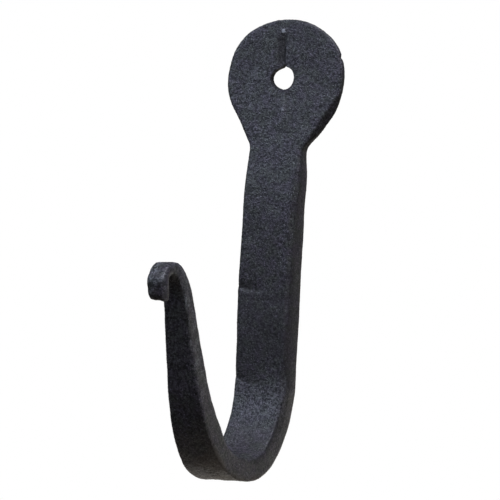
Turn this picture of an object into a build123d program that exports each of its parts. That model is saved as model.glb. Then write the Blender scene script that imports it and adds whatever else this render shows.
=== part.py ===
"""Hand-forged iron wall hook, one piece.

Millimetres, +Z up.  The back of the hook lies on the wall plane Y = 0 and the
hook reaches out towards -Y.  The origin is the centre of the screw hole, on
the wall plane.  The whole hook is one bar of flat stock: its upper end is
hammered out into a round head, its lower end is drawn down to a taper and
bent up into a J, and the tip is rolled outwards into a small curl.
"""
from build123d import *
import os
from math import acos, atan2, cos, hypot, sin, sqrt

import numpy as np

# ---------------------------------------------------------------- dimensions
stock_width = 16.2            # 5/8 in flat bar, spread a little by the hammer
stock_thickness = 6.35        # 1/4 in flat bar

# Head: the bar's end hammered out flat, with one screw hole.  Worked by hand,
# so neither the head nor the bar is quite centred on the hole.
head_half_width = 17.8
head_half_height = 17.0
head_offset = 0.3             # the head's centre lies this far to +X of the hole
head_drop = 0.6               # and this far below it
bar_offset = -0.3             # the bar's middle lies this far to -X of the hole
head_top_thickness = 1.4      # hammered thinnest at the top
hole_thickness = 1.9          # at the height of the hole
hole_radius = 3.5

# Neck: where the head runs into the bar, still hammered thin.
neck_z = -19.6
neck_thickness = 3.9
neck_fillet = 4.0
full_thickness_z = -48.0      # the bar has its full thickness from here down

# Shank, bend and front leg, along the middle of the bar's thickness.
shank_end_z = -88.6
bend_radius = 22.7 - stock_thickness / 2
bend_sweep = 140.0            # degrees
ease_length = 19.6            # the bend opens out slowly into the front leg
ease_sweep = 21.0
leg_length = 24.0

# Rolled tip: the leg leans forward, then curls right over to a blunt end.
lean_radius = 16.0
lean_sweep = 26.0
curl_radius = 3.5
curl_sweep = 150.0
nub_length = 3.6
nub_round = 2.2               # the blunt end rounds off over this length

# Width and thickness of the bar at named places along it.
bend_bottom_width = 15.0
ease_width, ease_thickness = 10.5, 5.6
leg_top_width, leg_top_thickness = 6.2, 4.0
curl_width, curl_thickness = 5.0, 3.0
nub_width, nub_thickness = 3.9, 4.2
edge_round = 0.5              # softened rim of the head and long edges of the bar

# Distance between the sections that the bar is lofted through.
bend_step = 4.0
tip_step = 1.25

# ------------------------------------------------- middle line of the bar
with BuildLine(Plane.YZ.offset(bar_offset)) as bar_line:
    shank = Line(
        (-stock_thickness / 2, full_thickness_z), (-stock_thickness / 2, shank_end_z)
    )
    bend = JernArc(shank @ 1, shank % 1, bend_radius, -bend_sweep)
    ease_radius = ease_length / np.radians(ease_sweep)
    ease = JernArc(bend @ 1, bend % 1, float(ease_radius), -ease_sweep)
    leg = Line(ease @ 1, (ease @ 1) + (ease % 1) * leg_length)
    lean = JernArc(leg @ 1, leg % 1, lean_radius, lean_sweep)
    curl = JernArc(lean @ 1, lean % 1, curl_radius, curl_sweep)
    nub = Line(curl @ 1, (curl @ 1) + (curl % 1) * nub_length)

runs = [shank, bend, ease, leg, lean, curl, nub]
run_ends = np.cumsum([0.0] + [run.length for run in runs])
shank_end, bend_end, ease_end, leg_end, lean_end, curl_end, tip_end = run_ends[1:]
blunt_start = tip_end - nub_round
bar_path = bar_line.wires()[0]

# Each row: distance along the bar, width, thickness.
taper = np.array([
    (0.0, stock_width, stock_thickness),
    (shank_end, stock_width - 0.2, stock_thickness),
    ((shank_end + bend_end) / 2, bend_bottom_width, stock_thickness),
    ((bend_end + ease_end) / 2, ease_width, ease_thickness),
    (leg_end, leg_top_width, leg_top_thickness),
    ((lean_end + curl_end) / 2, curl_width, curl_thickness),
    (blunt_start, nub_width, nub_thickness),
    (tip_end, nub_width, nub_thickness),
])


def bar_size(distance):
    """Width, thickness and corner radius of the bar at a distance along it."""
    width = float(np.interp(distance, taper[:, 0], taper[:, 1]))
    thickness = float(np.interp(distance, taper[:, 0], taper[:, 2]))
    past = max(0.0, distance - blunt_start) / nub_round
    rounding = sqrt(1.0 - past**2)
    return width * rounding, thickness * rounding, edge_round * rounding


def section_plane(distance):
    """The plane across the bar at a distance along it, with X to its side."""
    place = bar_path.position_at(distance, position_mode=PositionMode.LENGTH)
    heading = bar_path.tangent_at(distance, position_mode=PositionMode.LENGTH)
    return Plane(origin=place, x_dir=(1, 0, 0), z_dir=heading)


def spread(start, end, step):
    """Evenly spaced distances from start to end, about a step apart."""
    return np.linspace(start, end, max(1, round((end - start) / step)) + 1).tolist()


# The bar is lofted in four stretches.  The shank and the leg are straight, so
# they take two sections each; the last sections round off the blunt end.
blunt_end = [blunt_start + part * nub_round for part in (0.45, 0.75, 0.93)]
stretches = [
    [0.0, shank_end],
    spread(shank_end, ease_end, bend_step),
    [ease_end, leg_end],
    spread(leg_end, blunt_start, tip_step) + blunt_end,
]


def neck_corner(side):
    """The corner where the head runs into the bar, on the +X or -X side."""
    return bar_offset + side * stock_width / 2, neck_z


def neck_touch(side):
    """Where a straight line from the neck's corner touches the head's ellipse."""
    corner_x, corner_z = neck_corner(side)
    x = (corner_x - head_offset) / head_half_width
    z = (corner_z + head_drop) / head_half_height
    angle = atan2(z, x) + side * acos(1.0 / hypot(x, z))
    return (
        head_offset + head_half_width * cos(angle),
        head_half_height * sin(angle) - head_drop,
    )


# ---------------------------------------------------------------- the hook
with BuildPart() as forged_hook:
    # Front outline of head, neck and upper shank, as thick as the bar.
    with BuildSketch(Plane.XZ) as outline:
        with Locations((head_offset, -head_drop)):
            Ellipse(head_half_width, head_half_height)
        with BuildLine():
            Polyline(
                neck_touch(-1),
                neck_corner(-1),
                (bar_offset - stock_width / 2, full_thickness_z),
                (bar_offset + stock_width / 2, full_thickness_z),
                neck_corner(1),
                neck_touch(1),
                close=True,
            )
        make_face()
        neck_corners = outline.vertices().filter_by_position(Axis.Y, neck_z, neck_z)
        fillet(neck_corners, neck_fillet)
    extrude(amount=stock_thickness)

    # Hammered down to a wedge that is thinnest at the top of the head.
    with BuildSketch(Plane.YZ):
        head_top_z = head_half_height - head_drop
        with BuildLine():
            back = Line((0, full_thickness_z), (0, head_top_z))
            Line(back @ 1, (-head_top_thickness, head_top_z))
            face = Spline(
                (-head_top_thickness, head_top_z),
                (-hole_thickness, 0),
                (-neck_thickness, neck_z),
                (-stock_thickness, full_thickness_z),
                tangents=((0, -1), (0, -1)),
            )
            Line(face @ 1, back @ 0)
        make_face()
    extrude(amount=head_half_width + 1, both=True, mode=Mode.INTERSECT)

    # Softened rim and long edges, front and back.
    back_face = forged_hook.faces().sort_by(Axis.Y)[-1]
    front_face = forged_hook.faces().sort_by(Axis.Y)[0]
    rim = (back_face.edges() + front_face.edges()).filter_by(
        lambda edge: edge.center().Z > full_thickness_z + 0.01
    )
    fillet(rim, edge_round)

    # Shank below the neck, bend, front leg and rolled tip.
    for stretch in stretches:
        for distance in stretch:
            width, thickness, corner = bar_size(distance)
            with BuildSketch(section_plane(distance)):
                RectangleRounded(width, thickness, corner)
        loft()

    # Screw hole.
    with Locations(Plane.XZ):
        Hole(hole_radius)

forged_hook.part.label = "forged_hook"
os.makedirs("parts", exist_ok=True)
export_step(forged_hook.part, "parts/forged_hook.step")
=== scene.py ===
"""Looks of the forged wall hook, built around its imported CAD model.

The hook is one forging, so one piece stands for its one CAD node.  The piece
starts as a fine, even mesh of the CAD solid.  It is then worked the way the
smith works the bar: bevels along the edges, a pinched neck, a kink where the
bend starts, cold shuts and hammer dents.  Each step moves the vertices by a
formula in the bar's own coordinates, which are measured in millimetres:

    along    distance down the bar's middle line from the height of the hole
    across   distance to +X of the bar's middle
    inward   distance from the middle line towards the throat of the hook

Right is +X and left is -X, as seen from in front.
"""
import math

import bmesh
import bpy
import numpy as np
from mathutils import Matrix, Vector


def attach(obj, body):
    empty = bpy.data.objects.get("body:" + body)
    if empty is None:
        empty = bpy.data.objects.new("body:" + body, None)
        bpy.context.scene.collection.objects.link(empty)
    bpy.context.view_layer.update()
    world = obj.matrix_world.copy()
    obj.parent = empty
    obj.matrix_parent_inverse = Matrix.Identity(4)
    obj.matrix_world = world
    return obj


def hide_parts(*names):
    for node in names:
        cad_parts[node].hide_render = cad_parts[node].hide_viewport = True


MM = 0.001
NODE = "forged_hook"

# ------------------------------------------------- the bar, as in the CAD (mm)
BAR_MIDDLE_X = -0.3
LINE_TOP = 22.0                          # the middle line starts this far above the hole
BAR_TOP = -30.0                          # along the bar, above all of the hook
STOCK_THICKNESS = 6.35
SHANK_END = 88.6
BEND_RADIUS = 22.7 - STOCK_THICKNESS / 2
BEND_SWEEP = 140.0
EASE_LENGTH, EASE_SWEEP = 19.6, 21.0
LEG_LENGTH = 24.0
LEAN_RADIUS, LEAN_SWEEP = 16.0, 26.0
CURL_RADIUS, CURL_SWEEP = 3.5, 150.0
NUB_LENGTH = 3.6

BEND_END = SHANK_END + BEND_RADIUS * math.radians(BEND_SWEEP)
EASE_END = BEND_END + EASE_LENGTH
LEG_END = EASE_END + LEG_LENGTH
LEAN_END = LEG_END + LEAN_RADIUS * math.radians(LEAN_SWEEP)
CURL_END = LEAN_END + CURL_RADIUS * math.radians(CURL_SWEEP)
TIP_END = CURL_END + NUB_LENGTH

# Distance along the bar, width and thickness there.
TAPER = np.array([
    (22.0, 16.2, 3.9),
    (48.0, 16.2, 6.35),
    (SHANK_END, 16.0, 6.35),
    ((SHANK_END + BEND_END) / 2, 15.0, 6.35),
    ((BEND_END + EASE_END) / 2, 10.5, 5.6),
    (LEG_END, 6.2, 4.0),
    ((LEAN_END + CURL_END) / 2, 5.0, 3.0),
    (TIP_END, 3.9, 4.2),
])

HEAD_CENTRE = np.array([0.3, -0.6])      # x and z
HEAD_END = 14.0                          # along the bar, above the neck
NECK_TOP, NECK_END = 19.0, 26.0          # along the bar, where its edges and sides set in
HOLE_RADIUS = 3.5
HOLE_X, HOLE_Z = -0.1, -0.2              # middle of the punched hole
HOLE_SIDES = 72

VOXEL = 0.34                             # size of the even mesh's faces


# ------------------------------------------------------------ bar coordinates
def middle_line(step=0.4):
    """The bar's middle line as arrays: distance, y, z and heading.

    The heading is 0 straight down and turns towards -Y, in radians.
    """
    runs = (
        (LINE_TOP + SHANK_END, 0.0),
        (BEND_END - SHANK_END, BEND_SWEEP),
        (EASE_LENGTH, EASE_SWEEP),
        (LEG_LENGTH, 0.0),
        (LEAN_END - LEG_END, -LEAN_SWEEP),
        (CURL_END - LEAN_END, -CURL_SWEEP),
        (NUB_LENGTH + 4.0, 0.0),
    )
    y, z, heading, distance = -STOCK_THICKNESS / 2, LINE_TOP, 0.0, -LINE_TOP
    rows = [(distance, y, z, heading)]
    for length, sweep in runs:
        count = max(1, round(length / step))
        stride, turn = length / count, math.radians(sweep) / count
        for _ in range(count):
            y -= stride * math.sin(heading + turn / 2)
            z -= stride * math.cos(heading + turn / 2)
            heading += turn
            distance += stride
            rows.append((distance, y, z, heading))
    return np.array(rows).T


class BarPoints:
    """Where each vertex is in the bar's own coordinates."""

    def __init__(self, points):
        distance, line_y, line_z, heading = middle_line()
        nearest = np.empty(len(points), int)
        for start in range(0, len(points), 4000):
            part = slice(start, start + 4000)
            gap = (points[part, 1, None] - line_y) ** 2 + (points[part, 2, None] - line_z) ** 2
            nearest[part] = gap.argmin(axis=1)
        turn = heading[nearest]
        beyond = (line_y[nearest] - points[:, 1]) * np.sin(turn)
        beyond += (line_z[nearest] - points[:, 2]) * np.cos(turn)
        self.along = distance[nearest] + beyond
        turn = np.interp(self.along, distance, heading)
        off_y = points[:, 1] - np.interp(self.along, distance, line_y)
        off_z = points[:, 2] - np.interp(self.along, distance, line_z)
        level = np.zeros_like(turn)
        self.inward_dir = np.stack([level, -np.cos(turn), np.sin(turn)], 1)
        self.along_dir = np.stack([level, -np.sin(turn), -np.cos(turn)], 1)
        self.inward = off_y * self.inward_dir[:, 1] + off_z * self.inward_dir[:, 2]
        self.across = points[:, 0] - BAR_MIDDLE_X
        self.half_width = np.interp(self.along, TAPER[:, 0], TAPER[:, 1]) / 2
        self.half_thickness = np.interp(self.along, TAPER[:, 0], TAPER[:, 2]) / 2
        self.depth = self.inward / self.half_thickness      # -1 at the back, 1 at the throat


def reach(bar, offset, step=0.5):
    """The furthest that the bar goes in an offset, at each vertex's place along it."""
    place = (bar.along - BAR_TOP) / step
    furthest = np.zeros(1001)
    np.maximum.at(furthest, np.clip(place.astype(int), 0, 1000), offset)
    known = np.flatnonzero(furthest > 0)
    return np.interp(place, known + 0.5, furthest[known])


def rise(value, low, high):
    """0 below low, 1 above high and a smooth step between them."""
    part = np.clip((value - low) / (high - low), 0.0, 1.0)
    return part * part * (3.0 - 2.0 * part)


def between(value, low, high, soft):
    """1 from low to high, falling smoothly to 0 within soft outside them."""
    return rise(value, low - soft, low) * (1 - rise(value, high, high + soft))


def bump(value, centre, width):
    """A smooth hump of height 1 at centre, about two widths wide."""
    return np.exp(-(((value - centre) / width) ** 2))


def humps(value, table):
    """The sum of several humps, each given by its centre, width and height."""
    return sum(height * bump(value, centre, width) for centre, width, height in table)


def ripple(points, wavelength, seed, waves=24):
    """Smooth random waves through space, of about unit height."""
    rng = np.random.default_rng(seed)
    directions = rng.normal(size=(waves, 3))
    directions /= np.linalg.norm(directions, axis=1)[:, None]
    lengths = wavelength * rng.uniform(0.7, 1.5, waves)
    phases = rng.uniform(0, 2 * math.pi, waves)
    total = np.zeros(len(points))
    for travel, length, phase in zip(directions, lengths, phases):
        total += np.sin(points @ travel * (2 * math.pi / length) + phase)
    return total * math.sqrt(2.0 / waves)


# ------------------------------------------------------------------ mesh tools
def even_mesh(node):
    """A copy of a CAD node as an even mesh of small faces, with its hole filled."""
    work = bmesh.new()
    work.from_mesh(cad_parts[node].data)
    bmesh.ops.remove_doubles(work, verts=work.verts, dist=0.001 * MM)
    wall = [
        face for face in work.faces
        if all(math.hypot(vert.co.x, vert.co.z) < 1.01 * HOLE_RADIUS * MM for vert in face.verts)
    ]
    bmesh.ops.delete(work, geom=wall, context="FACES")
    bmesh.ops.holes_fill(work, edges=work.edges)
    bmesh.ops.triangulate(work, faces=work.faces)
    source = bpy.data.meshes.new("filled")
    work.to_mesh(source)
    work.free()
    copy = bpy.data.objects.new("filled", source)
    bpy.context.scene.collection.objects.link(copy)
    remesh = copy.modifiers.new("even", "REMESH")
    remesh.mode = "VOXEL"
    remesh.voxel_size = VOXEL * MM
    mesh = applied(copy)
    mesh.materials.clear()
    return mesh


def applied(thing):
    """The mesh of an object with its modifiers applied.  The object is removed."""
    graph = bpy.context.evaluated_depsgraph_get()
    mesh = bpy.data.meshes.new_from_object(thing.evaluated_get(graph))
    bpy.data.objects.remove(thing)
    return mesh


def read_points(mesh):
    """The vertices in millimetres, one row each."""
    flat = np.empty(len(mesh.vertices) * 3, np.float32)
    mesh.vertices.foreach_get("co", flat)
    return flat.reshape(-1, 3).astype(float) / MM


def write_points(mesh, points):
    """Puts vertices given in millimetres back into the mesh."""
    mesh.vertices.foreach_set("co", (points * MM).astype(np.float32).ravel())
    mesh.update()


def read_normals(mesh):
    """The vertex normals, one row each."""
    flat = np.empty(len(mesh.vertices) * 3, np.float32)
    mesh.vertices.foreach_get("normal", flat)
    return flat.reshape(-1, 3).astype(float)


def relax(mesh, rounds, weight=0.5):
    """Moves each vertex part of the way to the middle of its neighbours."""
    edges = np.empty(len(mesh.edges) * 2, np.int32)
    mesh.edges.foreach_get("vertices", edges)
    first, second = edges.reshape(-1, 2).T
    ends = np.concatenate([first, second])
    others = np.concatenate([second, first])
    points = read_points(mesh)
    count = np.bincount(ends, minlength=len(points))
    for _ in range(rounds):
        middles = np.stack(
            [np.bincount(ends, points[others, axis], len(points)) / count for axis in range(3)], 1
        )
        points += weight * (middles - points)
    write_points(mesh, points)


# --------------------------------------------------------------- forging steps
# Each step takes the vertices and their bar coordinates, and returns the
# vertices moved.  The five parts of fill_out move them in place.

# Humps on the outline, in millimetres: place along the bar, width and height.
SHANK_LEFT = ((32.0, 9.0, 0.18), (59.0, 4.5, 0.30), (90.0, 6.0, -0.15))
SHANK_RIGHT = ((28.0, 5.0, 0.35), (42.0, 8.0, 0.08))
# The same round the head's rim, where the place is an angle in radians from +X.
HEAD_RIM = ((-0.85, 0.5, 0.45), (-2.45, 0.35, -0.45), (0.55, 0.4, 0.45), (2.5, 0.4, 0.5), (1.57, 0.25, -0.2))


def fill_shank(points, bar):
    """The shank's sides stand out unevenly, and its throat side has a slight belly."""
    right = rise(bar.across, 1.0, 5.0)
    left = rise(-bar.across, 1.0, 5.0)
    on_shank = between(bar.along, 20.0, SHANK_END + 6.0, 6.0)
    on_left = 0.25 + humps(bar.along, SHANK_LEFT) - 0.32 * rise(bar.along, 66.0, 74.0)
    on_right = (0.45 + humps(bar.along, SHANK_RIGHT)) * (1 - 0.75 * rise(bar.along, 87.0, 94.0))
    points[:, 0] += on_shank * (on_right * right - on_left * left)
    points[:, 0] += 0.3 * right * bump(bar.along, 85.0, 4.0)
    points[:, 0] += 0.16 * left * bump(bar.along, 17.5, 3.0)
    belly = 0.28 * bump(bar.along, 71.0, 9.0) * rise(bar.depth, -0.2, 0.9)
    points += belly[:, None] * bar.inward_dir


def fill_bottom(points, bar):
    """The outside of the bend is fuller towards its two edges than in its middle."""
    right = rise(bar.across, 0.0, 5.0)
    lowest = bump(bar.along, 118.5, 5.0)
    full = between(bar.along, 117.0, 142.0, 9.0) * (1 - right)
    full -= 0.6 * bump(bar.along, 115.0, 5.0) * (1 - right)
    full += 0.3 * bump(bar.along, 108.0, 4.0) * right
    full += 0.8 * bump(bar.along, 115.0, 3.2) * rise(bar.across, 3.5, 7.5)
    full += lowest * (0.6 * rise(-bar.across, 3.0, 6.5) - 0.55 * bump(bar.across, 0.0, 3.0))
    points -= (0.55 * full * rise(-bar.depth, -0.4, 0.6))[:, None] * bar.inward_dir


def fill_leg(points, bar):
    """The leg is thicker at its root, and leans to the left and widens at its tip."""
    on_leg = between(bar.along, BEND_END + 4.0, LEAN_END - 2.0, 6.0)
    thick = on_leg * (0.72 - 0.45 * rise(bar.along, EASE_END, LEG_END))
    points += (thick * rise(bar.depth, -0.5, 0.6))[:, None] * bar.inward_dir
    points[:, 0] += 0.75 * rise(bar.along, EASE_END + 6.0, LEG_END + 2.0) * rise(bar.across, 0.3, 2.2)
    points[:, 0] -= 0.42 * rise(bar.along, LEG_END - 4.0, LEAN_END + 2.0)
    points[:, 0] += 0.25 * bump(bar.along, LEG_END - 3.0, 7.0) * rise(-bar.across, 0.3, 2.2)


def fill_head(points, bar):
    """The head's rim is hammered a little out of round."""
    off = points[:, [0, 2]] - HEAD_CENTRE
    radius = np.hypot(off[:, 0], off[:, 1])
    turn = np.arctan2(off[:, 1], off[:, 0])
    grow = (0.30 + humps(turn, HEAD_RIM)) * rise(radius, 8.0, 15.0)
    grow *= 1 - rise(bar.along, HEAD_END, HEAD_END + 8.0)
    points[:, 0] += grow * np.cos(turn)
    points[:, 2] += grow * np.sin(turn)


def fill_tip(points, bar):
    """The curl is flattened on top, and its end is upset into a blunt heel."""
    curl_top = 0.36 * bump(bar.along, LEAN_END + 5.0, 3.0) * rise(bar.depth, -0.2, 0.8)
    dip = 0.25 * bump(bar.along, LEAN_END + 6.6, 0.7) * rise(bar.depth, 0.0, 0.8)
    upset = rise(bar.along, CURL_END - 3.0, CURL_END)
    thick = 0.3 * upset * rise(bar.depth, 0.0, 0.9)
    points += (thick - curl_top - dip)[:, None] * bar.inward_dir
    end = rise(bar.along, TIP_END - 3.0, TIP_END - 0.5)
    points[:, 0] += (0.6 * upset + 0.25 * end) * rise(bar.across, 0.0, 1.5)
    points[:, 0] -= 0.35 * upset * rise(-bar.across, 0.0, 1.5)
    heel = 0.6 + 1.1 * rise(bar.across, 0.5, 2.0)
    points += (heel * end)[:, None] * bar.along_dir


def fill_out(points, bar):
    """Where the forging is a little fuller than its plain CAD form."""
    points = points.copy()
    for fill in (fill_shank, fill_bottom, fill_leg, fill_head, fill_tip):
        fill(points, bar)
    return points


def pinch_neck(points, bar):
    """The bar's right side is pinched in just under the head."""
    near = rise(bar.along, 15.0, 20.0) * (1 - rise(bar.along, 20.0, 28.5))
    right = rise(bar.across, 2.0, 7.5)
    points = points.copy()
    points[:, 0] -= 0.2 * right * near
    return points


LEAN_THICKNESS = 3.2                     # half thickness that the leans are given for


def side_lean(bar):
    """How far the right side leans in at the throat, on stock of full thickness."""
    return 0.85 * (1 - 0.6 * rise(bar.along, 82.0, 92.0))


def crown_sides(points, bar):
    """The right side leans in towards the throat, and the left side bulges a little."""
    on_bar = rise(bar.along, NECK_TOP, NECK_END) * (1 - rise(bar.along, LEG_END, CURL_END))
    depth = np.clip(bar.depth, -1.0, 1.0)
    right = side_lean(bar) * ((1 + depth) / 2) ** 2 * rise(bar.across, 4.0, 7.5)
    left = 0.15 * depth ** 2 * rise(-bar.across, 4.0, 7.5)
    points = points.copy()
    points[:, 0] -= (right - left) * on_bar * bar.half_thickness / LEAN_THICKNESS
    return points


def flatten_edges(points, bar):
    """Narrow hammered flats along the bar's four long edges."""
    on_bar = rise(bar.along, NECK_TOP, NECK_END) * (1 - rise(bar.along, LEAN_END, CURL_END))
    scale = bar.half_width / (TAPER[0, 1] / 2)
    wave = ripple(points * np.array([0.0, 1.0, 1.0]), 11.0, seed=3)
    in_bend = rise(bar.along, 85.0, 92.0)
    at_bottom = between(bar.along, 108.0, 120.0, 5.0)
    right_depth = 0.50 - 0.38 * in_bend + 0.45 * at_bottom
    right_lean = side_lean(bar) * bar.half_thickness / LEAN_THICKNESS
    # Side (+X or -X), face (throat or back), tilt of the flat towards the
    # face, its depth, how much the depth varies, and how far the side leans in.
    edges = (
        (1, 1, 56.0, right_depth, 0.25, right_lean),
        (-1, 1, 45.0, 0.25, 0.5, 0.0),
        (1, -1, 50.0, 0.22, 0.5, 0.0),
        (-1, -1, 50.0, 0.30, 0.4, 0.0),
    )
    for side, face, tilt, depth, vary, lean in edges:
        level = side * math.cos(math.radians(tilt))
        steep = face * math.sin(math.radians(tilt))
        beyond = (side * bar.across - reach(bar, side * bar.across) + lean) * abs(level)
        beyond += (face * bar.inward - reach(bar, face * bar.inward)) * abs(steep)
        cut = np.clip(beyond + depth * (1 + vary * wave) * scale, 0.0, 1.2) * on_bar
        points = points - cut[:, None] * (level * np.array([1.0, 0, 0]) + steep * bar.inward_dir)
    return points


def round_tip(points, bar):
    """The curl and its end are hammered round."""
    wide = np.where(bar.across > 0, reach(bar, bar.across), reach(bar, -bar.across))
    deep = np.where(bar.inward > 0, reach(bar, bar.inward), reach(bar, -bar.inward))
    u, v = bar.across / wide, bar.inward / deep
    squareness = (u ** 6 + v ** 6) ** (1 / 6)
    shrink = squareness / np.maximum(np.hypot(u, v), 1e-6) - 1
    shrink *= (
        0.35 * rise(bar.along, LEAN_END + 1.0, LEAN_END + 5.0)
        + 0.5 * rise(bar.along, CURL_END - 3.0, CURL_END)
    )
    points = points + (bar.inward * shrink)[:, None] * bar.inward_dir
    points[:, 0] += bar.across * shrink
    return points


def bevel_head(points, bar):
    """A broad bevel on the head's lower right edge."""
    corner = np.array([12.6, -3.2, -12.8])
    tilt = math.radians(42.0)
    outward = np.array([0.884, 0.0, -0.468]) * math.cos(tilt)
    outward[1] = -math.sin(tilt)
    beyond = (points - corner) @ outward
    near = between(points[:, 2], -16.0, -7.0, 3.5) * rise(points[:, 0], 6.0, 9.0)
    cut = np.maximum(0.0, beyond + 0.35) * near
    return points - cut[:, None] * outward


NICK_Z = 5.7


def nick_rim(points, bar):
    """A small notch in the head's right edge."""
    inside = bump(points[:, 2], NICK_Z, 0.55) * rise(points[:, 0], 15.5, 17.3)
    points = points.copy()
    points[:, 0] -= 0.5 * inside
    return points


def seam_line(z):
    """X of the head's seam at height Z."""
    return np.interp(z, [-10.0, 3.5, 7.8, 13.4], [1.0, 0.1, -0.1, -0.6])


def head_front(points, bar):
    """1 on the head's front face."""
    return (bar.along < HEAD_END) * rise(-points[:, 1], 0.4, 1.0)


def seam_head(points, bar):
    """A cold shut runs from the head's top down to the hole, and faintly on."""
    x, z = points[:, 0], points[:, 2]
    left = x - seam_line(z) - 0.12 * ripple(points * np.array([0.0, 0.0, 1.0]), 2.5, seed=31)
    upper = rise(z, 2.8, 5.0) * (1 - rise(z, 9.5, 13.2))
    lap = np.where(left < 0, rise(left, -3.2, -0.1), 1 - rise(left, -0.1, 0.4))
    sink = 0.50 * lap * upper + 0.25 * bump(left, 0.0, 0.4) * between(z, 9.0, 12.4, 0.8)
    raised_end = 0.32 * bump(x, -0.7, 0.7) * bump(z, 12.9, 0.5)
    ridge = 0.10 * bump(left, 0.0, 0.5) * between(z, -8.0, -4.2, 0.8)
    spot = 0.26 * bump(x, 1.0, 0.6) * bump(z, -9.1, 0.6)
    points = points.copy()
    points[:, 1] += (sink - raised_end - ridge - spot) * head_front(points, bar)
    return points


# Cold shuts across the throat side of the shank: x and z at the left end and
# at the right end, depth at both ends, length of the dip above and below it.
CREASES = (
    (-7.9, -59.6, 3.0, -59.9, 0.55, 0.0, 1.9, 0.45),
    (-3.0, -60.2, 7.7, -61.2, 0.0, 0.12, 1.0, 0.5),
    (-7.7, -62.4, 7.8, -62.8, 0.12, 0.10, 0.9, 0.5),
    (-7.7, -84.7, 2.0, -86.7, 0.48, 0.0, 2.0, 0.6),
)


def below_crease(points, crease):
    """How far each vertex is along a crease, from 0 to 1, and how far below it."""
    x0, z0, x1, z1 = crease[:4]
    part = np.clip((points[:, 0] - x0) / (x1 - x0), 0.0, 1.0)
    drop = z0 + part * (z1 - z0) - points[:, 2]
    return part, drop + 0.25 * ripple(points * np.array([1.0, 0.0, 0.0]), 5.0, seed=21)


def crease_front(points, bar):
    """The metal dips slowly above each cold shut and comes back up quickly below."""
    front = rise(bar.inward, 0.0, 0.6 * STOCK_THICKNESS / 2)
    sink = np.zeros(len(points))
    for crease in CREASES:
        depth0, depth1, above, below = crease[4:]
        part, drop = below_crease(points, crease)
        shape = np.exp(-np.abs(drop) / np.where(drop < 0, above, below))
        sink += (depth0 + part * (depth1 - depth0)) * shape
    return points - (sink * front)[:, None] * bar.inward_dir


KINK = 85.4                              # along the bar, at its middle


def kink_bend(points, bar):
    """The bend starts with a kink, and the metal swells inside it."""
    front = rise(bar.inward, -1.0, 2.5)
    start = KINK + 0.08 * bar.across
    swell = rise(bar.along - start, -2.6, 8.4) * (1 - rise(bar.along, 95.0, 112.0))
    slack = between(bar.along, 98.0, 104.0, 8.0)
    return points + ((0.9 * swell - 0.05 * slack) * front)[:, None] * bar.inward_dir


def hammer_faces(points, normals):
    """Broad, shallow unevenness left by the hammer, and scale on top."""
    broad = ripple(points, 15.0, seed=11)
    middle = ripple(points, 6.0, seed=12)
    fine = ripple(points, 2.2, seed=13)
    rough = 1 - 0.6 * rise(np.abs(normals[:, 0]), 0.6, 0.9)
    height = 0.055 * broad + (0.03 * middle + 0.01 * fine) * rough
    height += 0.03 * rough * np.random.default_rng(14).normal(size=len(points))
    return points + height[:, None] * normals


STEPS = (
    fill_out,
    pinch_neck,
    crown_sides,
    flatten_edges,
    round_tip,
    bevel_head,
    nick_rim,
    seam_head,
    kink_bend,
    crease_front,
)


def hole_edge(turn):
    """The punched hole's radius towards an angle from +X.

    The hole is a little squat and angular, with a notch on top.
    """
    notch = 0.7 * np.exp(-(((turn - math.radians(86)) / 0.14) ** 2))
    return HOLE_RADIUS + 0.1 + notch - 0.16 * np.cos(3 * turn) - 0.45 * np.sin(turn) ** 2


def punch_hole(mesh):
    """Cuts the punched hole through the head."""
    sides = HOLE_SIDES
    outline = []
    for i in range(sides):
        turn = 2 * math.pi * i / sides
        radius = float(hole_edge(turn))
        outline.append((HOLE_X + radius * math.cos(turn), HOLE_Z + radius * math.sin(turn)))
    points = [(x * MM, depth * MM, z * MM) for depth in (-6.0, 3.0) for x, z in outline]
    faces = [tuple(range(sides)), tuple(range(2 * sides - 1, sides - 1, -1))]
    for i in range(sides):
        j = (i + 1) % sides
        faces.append((j, i, i + sides, j + sides))
    punch_mesh = bpy.data.meshes.new("punch")
    punch_mesh.from_pydata(points, [], faces)
    punch = bpy.data.objects.new("punch", punch_mesh)
    plate = bpy.data.objects.new("plate", mesh)
    bpy.context.scene.collection.objects.link(punch)
    bpy.context.scene.collection.objects.link(plate)
    cut = plate.modifiers.new("punch", "BOOLEAN")
    cut.operation = "DIFFERENCE"
    cut.solver = "EXACT"
    cut.object = punch
    result = applied(plate)
    bpy.data.objects.remove(punch)
    return result


def build_hook():
    """The hook: an even mesh of the CAD solid, forged step by step, and its masks."""
    mesh = even_mesh(NODE)
    relax(mesh, 2)
    for step in STEPS:
        points = read_points(mesh)
        write_points(mesh, step(points, BarPoints(points)))
    relax(mesh, 2, 0.4)
    write_points(mesh, hammer_faces(read_points(mesh), read_normals(mesh)))
    mesh = punch_hole(mesh)
    mesh.polygons.foreach_set("use_smooth", [True] * len(mesh.polygons))
    mesh.set_sharp_from_angle(angle=math.radians(50))
    paint_masks(mesh)
    mesh.name = "forged_surface"
    hook = bpy.data.objects.new("forged_surface", mesh)
    bpy.context.scene.collection.objects.link(hook)
    return hook


# -------------------------------------------------------------- material masks
# Each mask is a number from 0 to 1 at each vertex, which the material reads.

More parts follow.
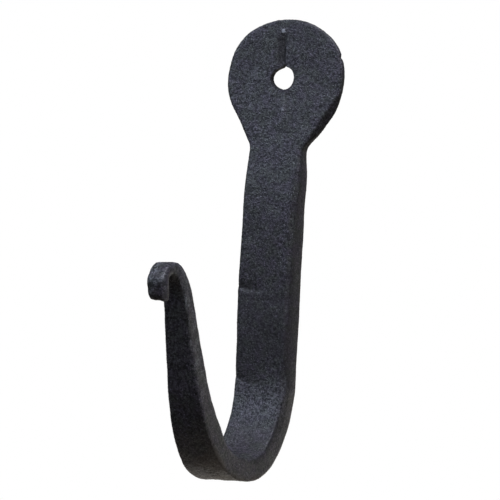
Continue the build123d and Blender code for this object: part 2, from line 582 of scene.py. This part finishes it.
def grime_and_painted_shade_mask(points, bar, facing):
    """Painted shade in folds, on the hole's wall, on shaded edges and sides and in the curl's hollow, with
    darker patches on the leg.
    """
    x, z = points[:, 0], points[:, 2]
    front = head_front(points, bar)
    left = x - seam_line(z)
    # Painted shade in the seam's lap and along its crack, on the head's front.
    lap = np.where(left < 0, rise(left, -3.0, -1.6), 1 - rise(left, -0.1, 0.3))
    seam = 0.75 * lap * rise(z, 2.0, 4.5) * (1 - rise(z, 10.5, 13.0))
    crack = bump(left, 0.0, 0.35) * between(z, 3.8, 8.5, 1.0)
    # Painted shade on the hole's wall.
    turn = np.arctan2(z - HOLE_Z, x - HOLE_X)
    hole_wall = 1.0 * (np.hypot(x - HOLE_X, z - HOLE_Z) < hole_edge(turn) + 0.12)

    # Painted shade along the throat's right edge, on the lower shank's throat side and low inside the bend.
    throat = rise(bar.inward, 0.0, 2.0)
    arris = rise(bar.across / bar.half_width, 0.80, 0.92) * rise(bar.inward, 0.3, 1.2)
    arris *= between(bar.along, 55.0, 98.0, 8.0)
    low_shank = throat * between(bar.along, 64.0, 76.0, 10.0)
    low_bend = throat * between(bar.along, 103.0, 116.0, 6.0)

    # Painted shade by the way the surface faces: the shank's right side, the head's rim, faces turned back
    # and right, the curl's underside and the front left of the curl's end. Darker random patches on the
    # leg's side.
    flank = rise(facing[:, 0], 0.5, 0.8) * between(bar.along, 22.0, 76.0, 8.0)
    rim = (1 - rise(bar.along, 18.0, 26.0)) * rise(facing[:, 0], 0.35, 0.7)
    rim *= 0.45 + 0.4 * rise(-facing[:, 2], 0.0, 0.5)
    behind = rise(facing[:, 0], 0.2, 0.5) * rise(facing[:, 1], 0.2, 0.5)
    behind *= 1 - rise(bar.along, 50.0, 70.0)
    hollow = rise(bar.along, LEAN_END - 2.0, LEAN_END + 3.0) * rise(-facing[:, 2], 0.3, 0.8)
    patches = leg_side(bar, facing) * np.clip(-leg_patches(points), 0, 1)

    parts = [
        seam * front, crack * front, hole_wall, 0.45 * arris, 0.38 * low_shank, 0.25 * low_bend,
        0.24 * flank, rim, 0.8 * behind, 0.25 * hollow, 0.15 * patches, 0.4 * nub_below(bar),
    ]
    # Painted shade above and in each cold shut across the throat.
    for crease in CREASES:
        part, drop = below_crease(points, crease)
        shade = np.where(drop < 0, np.exp(drop / 1.3), 1 - rise(drop, 0.0, 0.4))
        parts.append(2.0 * crease[4] * np.clip(1 - 1.8 * part, 0.0, 1.0) * throat * shade)
    return np.maximum.reduce(parts)


def wear_and_painted_light_mask(points, bar, facing):
    """Bare metal at the seam's ends, and painted light on the bend's inside and on the leg's side, front and
    curl.
    """
    x, z = points[:, 0], points[:, 2]
    spots = bump(x, -0.7, 0.55) * bump(z, 13.1, 0.38) + 0.5 * bump(x, 1.0, 0.4) * bump(z, -9.1, 0.4)
    ridge = 0.06 * bump(x - seam_line(z), 0.1, 0.3) * between(z, -8.0, -4.4, 0.6)
    wear_and_painted_light = (spots + ridge) * head_front(points, bar)
    # Painted light on the bend's inside, where it faces up.
    wear_and_painted_light += 0.065 * bump(bar.along, 91.5, 5.0) * rise(bar.inward, 1.0, 2.5)
    # Painted light in uneven patches on the leg's right side and round the curl.
    wear_and_painted_light += 0.08 * leg_side(bar, facing) * np.clip(leg_patches(points) + 0.3, 0, 1)
    # Painted light on the leg's front.
    leg_front = rise(-facing[:, 1], 0.2, 0.6) * (1 - rise(bar.along, LEG_END, LEAN_END))
    wear_and_painted_light += 0.028 * leg_front * rise(bar.along, EASE_END - 8.0, EASE_END + 10.0)
    # Painted light on the right side of the leg where it leans.
    paler = between(bar.along, LEG_END - 1.0, LEAN_END + 3.0, 3.0) * rise(facing[:, 0], 0.3, 0.6)
    return wear_and_painted_light + 0.05 * paler * rise(-bar.depth, -0.6, 0.4)


def rust_and_painted_bounce_mask(points, bar, facing):
    """Brownish scale under the bend and below the tip, painted paler with warm light from below."""
    under = rise(bar.along, 112.0, 118.0) * (1 - rise(bar.along, 132.0, 146.0))
    return np.maximum(under * rise(-bar.depth, 0.3, 0.9), 0.8 * nub_below(bar))


def leg_side(bar, facing):
    """1 on the leg's right side and all round the curl."""
    round_curl = rise(bar.along, LEG_END + 4.0, LEAN_END + 3.0)
    on_leg = rise(bar.along, EASE_END - 12.0, EASE_END + 6.0)
    return on_leg * np.maximum(rise(facing[:, 0], 0.4, 0.8), round_curl)


def leg_patches(points):
    """Uneven patches on the leg, above 0 where its side is painted lighter and below 0 where it is painted
    darker.
    """
    return ripple(points, 3.2, seed=41)


def nub_below(bar):
    """1 on the front left of the curl's end."""
    nub = rise(bar.along, CURL_END - 0.5, CURL_END + 1.0) * (1 - rise(bar.across, 0.0, 1.2))
    return nub * rise(bar.inward, -0.5, 1.0)


MASKS = {"grime_and_painted_shade": grime_and_painted_shade_mask, "wear_and_painted_light": wear_and_painted_light_mask, "rust_and_painted_bounce": rust_and_painted_bounce_mask}


def paint_masks(mesh):
    """Stores each mask in the mesh under its own name."""
    points = read_points(mesh)
    bar = BarPoints(points)
    facing = read_normals(mesh)
    for name, mask in MASKS.items():
        layer = mesh.attributes.new(name, "FLOAT", "POINT")
        values = np.clip(mask(points, bar, facing), 0, 1)
        layer.data.foreach_set("value", values.astype(np.float32))


# ------------------------------------------------------------------- materials
PIT = (0.007, 0.007, 0.0075, 1)
PEAK = (0.066, 0.065, 0.068, 1)
# Colour of the painted glints
PAINTED_GLINT = (0.15, 0.153, 0.165, 1)
VIOLET_TINT = (1.03, 0.96, 1.12, 1)
GREEN_TINT = (0.95, 1.04, 0.91, 1)
# Colour of the brownish scale, painted paler with warm light from below
RUST_AND_PAINTED_BOUNCE = (0.088, 0.072, 0.056, 1)
# Colour of the painted shade
GRIME_AND_PAINTED_SHADE = (0.006, 0.006, 0.007, 1)
# Colour of bare metal, and of the painted light
BARE_METAL_AND_PAINTED_LIGHT = (0.42, 0.45, 0.48, 1)
GRAIN_SIZE, DUST_SIZE, BLOTCH_SIZE, MOTTLE_SIZE = 0.72, 0.34, 7.0, 3.2      # mm
GRAIN_BUMP, DUST_BUMP = 0.12, 0.07                                          # mm


def iron_material():
    """Forge-blackened iron: matt dark scale with a fine glinting grain and painted glints."""
    material = bpy.data.materials.new("blackened_iron")
    material.use_nodes = True
    tree = material.node_tree
    shader = tree.nodes["Principled BSDF"]
    coords = tree.nodes.new("ShaderNodeTexCoord")

    def noise(size, detail, roughness=0.55):
        """Noise whose features are about size millimetres across."""
        node = tree.nodes.new("ShaderNodeTexNoise")
        node.inputs["Scale"].default_value = 1 / (size * MM)
        node.inputs["Detail"].default_value = detail
        node.inputs["Roughness"].default_value = roughness
        tree.links.new(coords.outputs["Object"], node.inputs["Vector"])
        return node.outputs["Fac"]

    def remap(value, low, high, out_low, out_high):
        """Takes low to out_low and high to out_high, and nothing beyond them."""
        node = tree.nodes.new("ShaderNodeMapRange")
        node.inputs["From Min"].default_value = low
        node.inputs["From Max"].default_value = high
        node.inputs["To Min"].default_value = out_low
        node.inputs["To Max"].default_value = out_high
        tree.links.new(value, node.inputs["Value"])
        return node.outputs["Result"]

    def blend(amount, colour_a, colour_b):
        """Colour A where the amount is 0, and colour B where it is 1."""
        node = tree.nodes.new("ShaderNodeMix")
        node.data_type = "RGBA"
        tree.links.new(amount, node.inputs["Factor"])
        for socket, colour in ((node.inputs["A"], colour_a), (node.inputs["B"], colour_b)):
            if isinstance(colour, tuple):
                socket.default_value = colour
            else:
                tree.links.new(colour, socket)
        return node.outputs["Result"]

    def mask(name):
        """One of the masks stored in the mesh."""
        node = tree.nodes.new("ShaderNodeAttribute")
        node.attribute_name = name
        return node.outputs["Fac"]

    def combine(operation, first, second):
        """The sum, product or the like of two values."""
        node = tree.nodes.new("ShaderNodeMath")
        node.operation = operation
        for socket, value in zip(node.inputs, (first, second)):
            if isinstance(value, float):
                socket.default_value = value
            else:
                tree.links.new(value, socket)
        return node.outputs["Value"]

    grain = noise(GRAIN_SIZE, 1.0)
    dust = noise(DUST_SIZE, 0.0)
    blotches = noise(BLOTCH_SIZE, 3.0)
    specks = combine("ADD", combine("MULTIPLY", grain, 0.7), combine("MULTIPLY", dust, 0.3))

    # Sides are smoother than the hammered faces
    split = tree.nodes.new("ShaderNodeSeparateXYZ")
    tree.links.new(coords.outputs["Normal"], split.inputs["Vector"])
    sideways = combine("ABSOLUTE", split.outputs["X"], 0.0)
    rough_face = remap(sideways, 0.60, 0.90, 1.0, 0.45)

    # Pits in the scale are darker than its peaks
    amount = combine("MULTIPLY", combine("SUBTRACT", specks, 0.5), rough_face)
    colour = blend(remap(amount, -0.13, 0.15, 0.0, 1.0), PIT, PEAK)
    # Painted glints on the brightest dust specks
    colour = blend(remap(dust, 0.68, 0.80, 0.0, 1.0), colour, PAINTED_GLINT)

    # A faint mottle, then the masks of brownish scale, painted shade and painted light
    mottle = remap(noise(MOTTLE_SIZE, 2.0), 0.38, 0.62, 0.0, 1.0)
    tint = blend(mottle, VIOLET_TINT, GREEN_TINT)
    tinted = tree.nodes.new("ShaderNodeMix")
    tinted.data_type = "RGBA"
    tinted.blend_type = "MULTIPLY"
    tinted.inputs["Factor"].default_value = 1.0
    tree.links.new(colour, tinted.inputs["A"])
    tree.links.new(tint, tinted.inputs["B"])
    colour = tinted.outputs["Result"]
    # Brownish scale, painted paler with warm light from below
    rust_and_painted_bounce_amount = combine("MULTIPLY", mask("rust_and_painted_bounce"), remap(blotches, 0.42, 0.60, 0.15, 0.75))
    colour = blend(rust_and_painted_bounce_amount, colour, RUST_AND_PAINTED_BOUNCE)
    # Painted shade in folds, edges and hollows
    colour = blend(mask("grime_and_painted_shade"), colour, GRIME_AND_PAINTED_SHADE)
    # Bare metal at the seam's ends, and painted light on the bend and the leg
    worn_and_painted_light = combine("MULTIPLY", mask("wear_and_painted_light"), remap(specks, 0.40, 0.62, 0.0, 2.0))
    colour = blend(worn_and_painted_light, colour, BARE_METAL_AND_PAINTED_LIGHT)
    tree.links.new(colour, shader.inputs["Base Color"])

    # Pits, the painted shade and the brownish scale are rougher
    rough = combine(
        "ADD", remap(blotches, 0.3, 0.7, 0.40, 0.48), remap(specks, 0.38, 0.62, 0.10, -0.12)
    )
    rough = combine("ADD", rough, combine("MULTIPLY", mask("grime_and_painted_shade"), 0.45))
    rough = combine("ADD", rough, combine("MULTIPLY", mask("rust_and_painted_bounce"), 0.16))
    tree.links.new(rough, shader.inputs["Roughness"])

    # Two bumps in a row: the coarse grain, then the dust on it
    normal = None
    for height, distance in ((grain, GRAIN_BUMP), (dust, DUST_BUMP)):
        node = tree.nodes.new("ShaderNodeBump")
        node.inputs["Distance"].default_value = distance * MM
        tree.links.new(combine("MULTIPLY", height, rough_face), node.inputs["Height"])
        if normal is not None:
            tree.links.new(normal, node.inputs["Normal"])
        normal = node.outputs["Normal"]
    tree.links.new(normal, shader.inputs["Normal"])
    return material


# ------------------------------------------------------- camera, light, stage
TARGET = Vector((1.83, -19.81, -48.77)) * MM
# Azimuth 0 is in front, at -Y, and 90 is at +X.
AZIMUTH, ELEVATION, ROLL = math.radians(27.82), math.radians(0.06), math.radians(2.96)
CAMERA_DISTANCE = 562.0 * MM
VIEW_WIDTH = 136.2 * MM                  # width of the picture at the target
SENSOR_WIDTH = 36.0

# Lights and floor, with their sizes and places in metres
SOFTBOX_SIZE = 0.40
BOUNCE_SIZE = 1.20                       # the low lights, in place of the floor's bounce
SOFTBOX_DISTANCE = 0.60
ROOM_LIGHT = 0.05
ROOM_COLOUR = (1.0, 0.88, 0.92, 1)
WHITE = (1, 1, 1, 1)
FLOOR_Z = -0.70
FLOOR_RADIUS = 4.0
FLOOR_SIDES = 96
FLOOR_GREY = (0.30, 0.30, 0.30, 1)
FLOOR_ROUGHNESS = 0.9
FLOOR_GLOW = 0.82
# Name, azimuth and elevation in degrees, size, power in watts, colour
SOFTBOXES = (
    ("top_right", 45.0, 60.0, SOFTBOX_SIZE, 1.92, (0.85, 0.86, 1.0)),
    ("top_front", 0.0, 60.0, SOFTBOX_SIZE, 0.97, (0.85, 0.86, 1.0)),
    ("front_left", 315.0, 30.0, SOFTBOX_SIZE, 0.85, (0.64, 0.76, 1.0)),
    ("right_bounce", 120.0, -60.0, BOUNCE_SIZE, 0.85, (1.0, 0.96, 0.88)),
    ("back_bounce", 180.0, -30.0, BOUNCE_SIZE, 1.7, (1.0, 0.96, 0.90)),
    ("left_bounce", 210.0, -30.0, BOUNCE_SIZE, 1.2, (1.0, 0.92, 0.80)),
)


def direction(azimuth, elevation):
    """The unit vector from the hook towards an azimuth and elevation in radians."""
    return Vector((
        math.sin(azimuth) * math.cos(elevation),
        -math.cos(azimuth) * math.cos(elevation),
        math.sin(elevation),
    ))


def add_camera():
    """A long lens, aimed at the hook's middle and rolled a little."""
    back = direction(AZIMUTH, ELEVATION)
    level = Vector((math.cos(AZIMUTH), math.sin(AZIMUTH), 0.0))
    upright = back.cross(level)
    right = level * math.cos(ROLL) + upright * math.sin(ROLL)
    up = back.cross(right)
    data = bpy.data.cameras.new("camera")
    data.sensor_width = SENSOR_WIDTH
    data.lens = data.sensor_width * CAMERA_DISTANCE / VIEW_WIDTH
    data.clip_start = 0.01
    camera = bpy.data.objects.new("camera", data)
    aim = Matrix((right, up, back)).transposed().to_4x4()
    camera.matrix_world = Matrix.Translation(TARGET + back * CAMERA_DISTANCE) @ aim
    bpy.context.scene.collection.objects.link(camera)
    bpy.context.scene.camera = camera


def add_world():
    """White behind the hook, and only a little light from all around."""
    world = bpy.data.worlds.new("studio")
    bpy.context.scene.world = world
    world.use_nodes = True
    tree = world.node_tree
    backdrop = tree.nodes["Background"]
    backdrop.inputs["Color"].default_value = WHITE
    room = tree.nodes.new("ShaderNodeBackground")
    room.inputs["Color"].default_value = ROOM_COLOUR
    room.inputs["Strength"].default_value = ROOM_LIGHT
    rays = tree.nodes.new("ShaderNodeLightPath")
    choose = tree.nodes.new("ShaderNodeMixShader")
    tree.links.new(rays.outputs["Is Camera Ray"], choose.inputs["Fac"])
    tree.links.new(room.outputs["Background"], choose.inputs[1])
    tree.links.new(backdrop.outputs["Background"], choose.inputs[2])
    tree.links.new(choose.outputs["Shader"], tree.nodes["World Output"].inputs["Surface"])


def add_softbox(name, azimuth, elevation, size, power, colour):
    """A round soft light aimed at the hook."""
    away = direction(math.radians(azimuth), math.radians(elevation))
    data = bpy.data.lights.new(name, "AREA")
    data.shape = "DISK"
    data.size = size
    data.energy = power
    data.color = colour
    light = bpy.data.objects.new(name, data)
    light.location = TARGET + away * SOFTBOX_DISTANCE
    light.rotation_euler = away.to_track_quat("Z", "Y").to_euler()
    light.visible_camera = False
    bpy.context.scene.collection.objects.link(light)
    return light


def add_lights(hook):
    """All the softboxes.  The low ones light only the hook, so the floor stays even."""
    hook_only = bpy.data.collections.new("hook_only")
    hook_only.objects.link(hook)
    for name, azimuth, elevation, size, power, colour in SOFTBOXES:
        light = add_softbox(name, azimuth, elevation, size, power, colour)
        if elevation < 0:
            light.light_linking.receiver_collection = hook_only


def add_floor():
    """A pale round floor.  The low softboxes stand in for its bounced light."""
    mesh = bpy.data.meshes.new("floor")
    rim = []
    for i in range(FLOOR_SIDES):
        turn = 2 * math.pi * i / FLOOR_SIDES
        rim.append((FLOOR_RADIUS * math.cos(turn), FLOOR_RADIUS * math.sin(turn), FLOOR_Z))
    mesh.from_pydata(rim, [], [range(FLOOR_SIDES)])
    floor = bpy.data.objects.new("floor", mesh)
    material = bpy.data.materials.new("pale_floor")
    material.use_nodes = True
    shader = material.node_tree.nodes["Principled BSDF"]
    shader.inputs["Base Color"].default_value = FLOOR_GREY
    shader.inputs["Roughness"].default_value = FLOOR_ROUGHNESS
    shader.inputs["Emission Color"].default_value = WHITE
    shader.inputs["Emission Strength"].default_value = FLOOR_GLOW
    mesh.materials.append(material)
    bpy.context.scene.collection.objects.link(floor)
    floor.visible_diffuse = False
    floor.visible_glossy = False
    floor.visible_shadow = False


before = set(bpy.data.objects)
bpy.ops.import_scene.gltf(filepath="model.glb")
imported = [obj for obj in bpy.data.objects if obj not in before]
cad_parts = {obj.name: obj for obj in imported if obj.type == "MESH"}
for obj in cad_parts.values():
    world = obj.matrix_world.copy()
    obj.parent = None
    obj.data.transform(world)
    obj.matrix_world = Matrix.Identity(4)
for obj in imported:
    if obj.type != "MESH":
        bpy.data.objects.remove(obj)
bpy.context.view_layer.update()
hook = build_hook()
hook.data.materials.append(iron_material())
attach(hook, "root")
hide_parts(NODE)
add_camera()
add_world()
add_lights(hook)
add_floor()
bpy.context.scene.view_settings.view_transform = "Standard"
